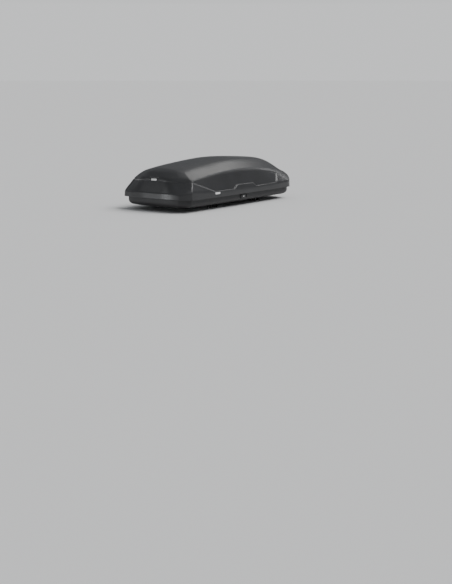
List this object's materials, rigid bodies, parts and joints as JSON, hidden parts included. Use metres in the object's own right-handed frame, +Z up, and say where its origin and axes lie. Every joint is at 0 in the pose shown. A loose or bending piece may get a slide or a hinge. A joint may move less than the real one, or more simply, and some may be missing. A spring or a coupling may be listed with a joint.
{
  "type": "roof cargo box",
  "caption": "Long hard roof cargo box with a faceted lid that opens from either side, lid lifters, side locks and quick clamps that grip crossbars.",
  "frame": {"origin": "under the middle of the box, level with the lowest point of the clamp jaws", "axes": "+X driving direction (front of the box), +Y left side, +Z up"},
  "size_m": [1.9, 0.84, 0.4689],
  "materials": {
    "lid_plastic": "fine grained, satin",
    "tray_plastic": "coarse grained, matt",
    "badge_plate": "satin, blank",
    "rail_aluminium": "mill finish",
    "rod_steel": "zinc plated",
    "pressed_steel": "black powder coat",
    "bush_nylon": "moulded",
    "lock_plastic": "fine grained",
    "slider_plastic": "satin",
    "key_chrome": "polished",
    "clamp_plastic": "glass-filled nylon",
    "knob_plastic": "soft touch",
    "jaw_rubber": "overmoulded claw"
  },
  "bodies": {
    "base": {"base_tray": "tray_plastic", "rail_rivets": "rod_steel", "lifter_pivot_pins": "rod_steel", "left_hinge_ears": "pressed_steel", "left_lock_frame": "lock_plastic", "left_clamp_rail": "rail_aluminium", "right_hinge_ears": "pressed_steel", "right_lock_frame": "lock_plastic", "right_clamp_rail": "rail_aluminium", "left_hinge_bushes": "bush_nylon", "rear_lifter_bracket": "pressed_steel", "front_lifter_bracket": "pressed_steel"},
    "right_hinge_bushes": {"right_hinge_bushes": "bush_nylon"},
    "lid": {"lid_shell": "lid_plastic", "rear_badge": "badge_plate", "left_badge": "badge_plate", "left_lid_rail": "rail_aluminium", "left_hinge_clips": "clamp_plastic", "right_badge": "badge_plate", "right_lid_rail": "rail_aluminium", "right_hinge_clips": "clamp_plastic", "rear_lid_track": "rail_aluminium", "front_lid_track": "rail_aluminium"},
    "left_latch": {"left_latch_rod": "rod_steel", "left_latch_slider": "slider_plastic"},
    "left_key": {"left_key_cylinder": "key_chrome"},
    "right_latch": {"right_latch_rod": "rod_steel", "right_latch_slider": "slider_plastic"},
    "right_key": {"right_key_cylinder": "key_chrome"},
    "rear_left_arm": {"rear_left_lifter_arm": "pressed_steel"},
    "rear_right_arm": {"rear_right_lifter_arm": "pressed_steel"},
    "front_left_arm": {"front_left_lifter_arm": "pressed_steel"},
    "front_right_arm": {"front_right_lifter_arm": "pressed_steel"},
    "rear_left_clamp": {"rear_left_clamp_carriage": "clamp_plastic", "rear_left_clamp_saddle": "clamp_plastic"},
    "rear_left_clamp_screw": {"rear_left_clamp_knob": "knob_plastic", "rear_left_clamp_spindle": "rod_steel"},
    "rear_left_clamp_front_jaw": {"rear_left_clamp_front_jaw": "jaw_rubber"},
    "rear_left_clamp_rear_jaw": {"rear_left_clamp_rear_jaw": "jaw_rubber"},
    "rear_right_clamp": {"rear_right_clamp_carriage": "clamp_plastic", "rear_right_clamp_saddle": "clamp_plastic"},
    "rear_right_clamp_screw": {"rear_right_clamp_knob": "knob_plastic", "rear_right_clamp_spindle": "rod_steel"},
    "rear_right_clamp_front_jaw": {"rear_right_clamp_front_jaw": "jaw_rubber"},
    "rear_right_clamp_rear_jaw": {"rear_right_clamp_rear_jaw": "jaw_rubber"},
    "front_left_clamp": {"front_left_clamp_carriage": "clamp_plastic", "front_left_clamp_saddle": "clamp_plastic"},
    "front_left_clamp_screw": {"front_left_clamp_knob": "knob_plastic", "front_left_clamp_spindle": "rod_steel"},
    "front_left_clamp_front_jaw": {"front_left_clamp_front_jaw": "jaw_rubber"},
    "front_left_clamp_rear_jaw": {"front_left_clamp_rear_jaw": "jaw_rubber"},
    "front_right_clamp": {"front_right_clamp_carriage": "clamp_plastic", "front_right_clamp_saddle": "clamp_plastic"},
    "front_right_clamp_screw": {"front_right_clamp_knob": "knob_plastic", "front_right_clamp_spindle": "rod_steel"},
    "front_right_clamp_front_jaw": {"front_right_clamp_front_jaw": "jaw_rubber"},
    "front_right_clamp_rear_jaw": {"front_right_clamp_rear_jaw": "jaw_rubber"}
  },
  "joints": [
    {"name": "lid_opens_from_left", "type": "hinge", "parent": "base", "child": "right_hinge_bushes", "pos_m": [-0.04, -0.398, 0.15], "axis": [1, 0, 0], "range_deg": [0, 44]},
    {"name": "lid_opens_from_right", "type": "hinge", "parent": "right_hinge_bushes", "child": "lid", "pos_m": [-0.04, 0.398, 0.15], "axis": [-1, 0, 0], "range_deg": [0, 44]},
    {"name": "left_latch_slides", "type": "slide", "parent": "base", "child": "left_latch", "axis": [1, 0, 0], "range_m": [0, 0.016]},
    {"name": "left_key_turns", "type": "hinge", "parent": "left_latch", "child": "left_key", "pos_m": [-0.006, 0.396, 0.093], "axis": [0, 1, 0], "range_deg": [0, 90]},
    {"name": "right_latch_slides", "type": "slide", "parent": "base", "child": "right_latch", "axis": [1, 0, 0], "range_m": [0, 0.016]},
    {"name": "right_key_turns", "type": "hinge", "parent": "right_latch", "child": "right_key", "pos_m": [-0.006, -0.396, 0.093], "axis": [0, 1, 0], "range_deg": [0, 90]},
    {"name": "rear_left_arm_rises", "type": "hinge", "parent": "base", "child": "rear_left_arm", "pos_m": [-0.7765, 0, 0.15], "axis": [1, 0, 0], "range_deg": [0, 88]},
    {"name": "rear_right_arm_rises", "type": "hinge", "parent": "base", "child": "rear_right_arm", "pos_m": [-0.7705, 0, 0.15], "axis": [-1, 0, 0], "range_deg": [0, 88]},
    {"name": "front_left_arm_rises", "type": "hinge", "parent": "base", "child": "front_left_arm", "pos_m": [0.6465, 0, 0.15], "axis": [1, 0, 0], "range_deg": [0, 88]},
    {"name": "front_right_arm_rises", "type": "hinge", "parent": "base", "child": "front_right_arm", "pos_m": [0.6405, 0, 0.15], "axis": [-1, 0, 0], "range_deg": [0, 88]},
    {"name": "rear_left_clamp_slides", "type": "slide", "parent": "base", "child": "rear_left_clamp", "axis": [1, 0, 0], "range_m": [-0.045, 0.045]},
    {"name": "rear_left_clamp_knob_turns", "type": "hinge", "parent": "rear_left_clamp", "child": "rear_left_clamp_screw", "pos_m": [-0.31, 0.235, 0.1], "axis": [0, 0, 1], "range_deg": [0, 720]},
    {"name": "rear_left_clamp_front_jaw_swings", "type": "hinge", "parent": "rear_left_clamp", "child": "rear_left_clamp_front_jaw", "pos_m": [-0.263, 0.235, 0.0415], "axis": [0, -1, 0], "range_deg": [0, 36]},
    {"name": "rear_left_clamp_rear_jaw_swings", "type": "hinge", "parent": "rear_left_clamp", "child": "rear_left_clamp_rear_jaw", "pos_m": [-0.357, 0.235, 0.0415], "axis": [0, 1, 0], "range_deg": [0, 36]},
    {"name": "rear_right_clamp_slides", "type": "slide", "parent": "base", "child": "rear_right_clamp", "axis": [1, 0, 0], "range_m": [-0.045, 0.045]},
    {"name": "rear_right_clamp_knob_turns", "type": "hinge", "parent": "rear_right_clamp", "child": "rear_right_clamp_screw", "pos_m": [-0.31, -0.235, 0.1], "axis": [0, 0, 1], "range_deg": [0, 720]},
    {"name": "rear_right_clamp_front_jaw_swings", "type": "hinge", "parent": "rear_right_clamp", "child": "rear_right_clamp_front_jaw", "pos_m": [-0.263, -0.235, 0.0415], "axis": [0, -1, 0], "range_deg": [0, 36]},
    {"name": "rear_right_clamp_rear_jaw_swings", "type": "hinge", "parent": "rear_right_clamp", "child": "rear_right_clamp_rear_jaw", "pos_m": [-0.357, -0.235, 0.0415], "axis": [0, 1, 0], "range_deg": [0, 36]},
    {"name": "front_left_clamp_slides", "type": "slide", "parent": "base", "child": "front_left_clamp", "axis": [1, 0, 0], "range_m": [-0.045, 0.045]},
    {"name": "front_left_clamp_knob_turns", "type": "hinge", "parent": "front_left_clamp", "child": "front_left_clamp_screw", "pos_m": [0.44, 0.235, 0.1], "axis": [0, 0, 1], "range_deg": [0, 720]},
    {"name": "front_left_clamp_front_jaw_swings", "type": "hinge", "parent": "front_left_clamp", "child": "front_left_clamp_front_jaw", "pos_m": [0.487, 0.235, 0.0415], "axis": [0, -1, 0], "range_deg": [0, 36]},
    {"name": "front_left_clamp_rear_jaw_swings", "type": "hinge", "parent": "front_left_clamp", "child": "front_left_clamp_rear_jaw", "pos_m": [0.393, 0.235, 0.0415], "axis": [0, 1, 0], "range_deg": [0, 36]},
    {"name": "front_right_clamp_slides", "type": "slide", "parent": "base", "child": "front_right_clamp", "axis": [1, 0, 0], "range_m": [-0.045, 0.045]},
    {"name": "front_right_clamp_knob_turns", "type": "hinge", "parent": "front_right_clamp", "child": "front_right_clamp_screw", "pos_m": [0.44, -0.235, 0.1], "axis": [0, 0, 1], "range_deg": [0, 720]},
    {"name": "front_right_clamp_front_jaw_swings", "type": "hinge", "parent": "front_right_clamp", "child": "front_right_clamp_front_jaw", "pos_m": [0.487, -0.235, 0.0415], "axis": [0, -1, 0], "range_deg": [0, 36]},
    {"name": "front_right_clamp_rear_jaw_swings", "type": "hinge", "parent": "front_right_clamp", "child": "front_right_clamp_rear_jaw", "pos_m": [0.393, -0.235, 0.0415], "axis": [0, 1, 0], "range_deg": [0, 36]}
  ],
  "couplings": [
    {"joint": "rear_left_arm_rises", "follows": "lid_opens_from_left", "ratio": 2},
    {"joint": "rear_right_arm_rises", "follows": "lid_opens_from_right", "ratio": 2},
    {"joint": "front_left_arm_rises", "follows": "lid_opens_from_left", "ratio": 2},
    {"joint": "front_right_arm_rises", "follows": "lid_opens_from_right", "ratio": 2},
    {"joint": "rear_left_clamp_front_jaw_swings", "follows": "rear_left_clamp_knob_turns", "ratio": 0.05},
    {"joint": "rear_left_clamp_rear_jaw_swings", "follows": "rear_left_clamp_knob_turns", "ratio": 0.05},
    {"joint": "rear_right_clamp_front_jaw_swings", "follows": "rear_right_clamp_knob_turns", "ratio": 0.05},
    {"joint": "rear_right_clamp_rear_jaw_swings", "follows": "rear_right_clamp_knob_turns", "ratio": 0.05},
    {"joint": "front_left_clamp_front_jaw_swings", "follows": "front_left_clamp_knob_turns", "ratio": 0.05},
    {"joint": "front_left_clamp_rear_jaw_swings", "follows": "front_left_clamp_knob_turns", "ratio": 0.05},
    {"joint": "front_right_clamp_front_jaw_swings", "follows": "front_right_clamp_knob_turns", "ratio": 0.05},
    {"joint": "front_right_clamp_rear_jaw_swings", "follows": "front_right_clamp_knob_turns", "ratio": 0.05}
  ]
}
